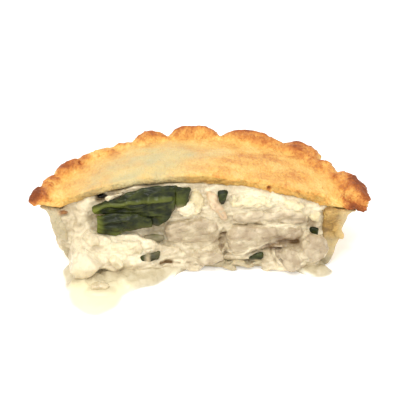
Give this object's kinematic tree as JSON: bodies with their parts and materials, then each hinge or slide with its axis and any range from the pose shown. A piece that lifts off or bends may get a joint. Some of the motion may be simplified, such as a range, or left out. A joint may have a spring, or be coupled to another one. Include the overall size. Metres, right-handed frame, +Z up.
{
  "type": "chicken pot pie",
  "caption": "Half of a small round chicken pot pie, cut across, with a crimped pastry lid, creamy chicken and spinach filling and a little sauce run out.",
  "frame": {"origin": "middle of the bounding box's underside, on the surface the pie stands on", "axes": "+Z up out of the base, +X along the cut from the end with the pool of sauce to the other, +Y from the cut towards the uncut back"},
  "size_m": [0.125, 0.0984, 0.0367],
  "materials": {
    "pastry_lid": "golden baked pastry, browner on the crimps, satin egg glaze",
    "pastry_case": "pale golden baked pastry, matt",
    "filling": "thick creamy sauce with fine shreds, soft gloss",
    "chicken": "cooked white meat coated in cream, satin",
    "cheese": "soft white cheese, satin",
    "vegetable": "cooked leek and onion, wet",
    "spinach": "dark green wilted leaf, wet gloss",
    "sauce": "thin pale yellow sauce, glossy and a little translucent"
  },
  "bodies": {
    "root": {"pastry_lid": "pastry_lid", "pastry_case": "pastry_case", "filling": "filling", "chicken_spilled": "chicken", "chicken_left": "chicken", "chicken_middle": "chicken", "chicken_low_middle": "chicken", "chicken_strip": "chicken", "chicken_upper_right": "chicken", "chicken_slab": "chicken", "chicken_right": "chicken", "chicken_low_right": "chicken", "cheese_1": "cheese", "cheese_2": "cheese", "cheese_3": "cheese", "cheese_4": "cheese", "cheese_5": "cheese", "cheese_6": "cheese", "leek_piece": "vegetable", "onion_slice": "vegetable", "onion_piece": "vegetable", "spinach_upper": "spinach", "spinach_lower": "spinach", "spinach_tip": "spinach", "spinach_scrap_1": "spinach", "spinach_scrap_2": "spinach", "spinach_scrap_3": "spinach", "spinach_scrap_4": "spinach", "spinach_scrap_5": "spinach", "sauce_pool": "sauce", "sauce_trickle": "sauce"}
  },
  "joints": []
}
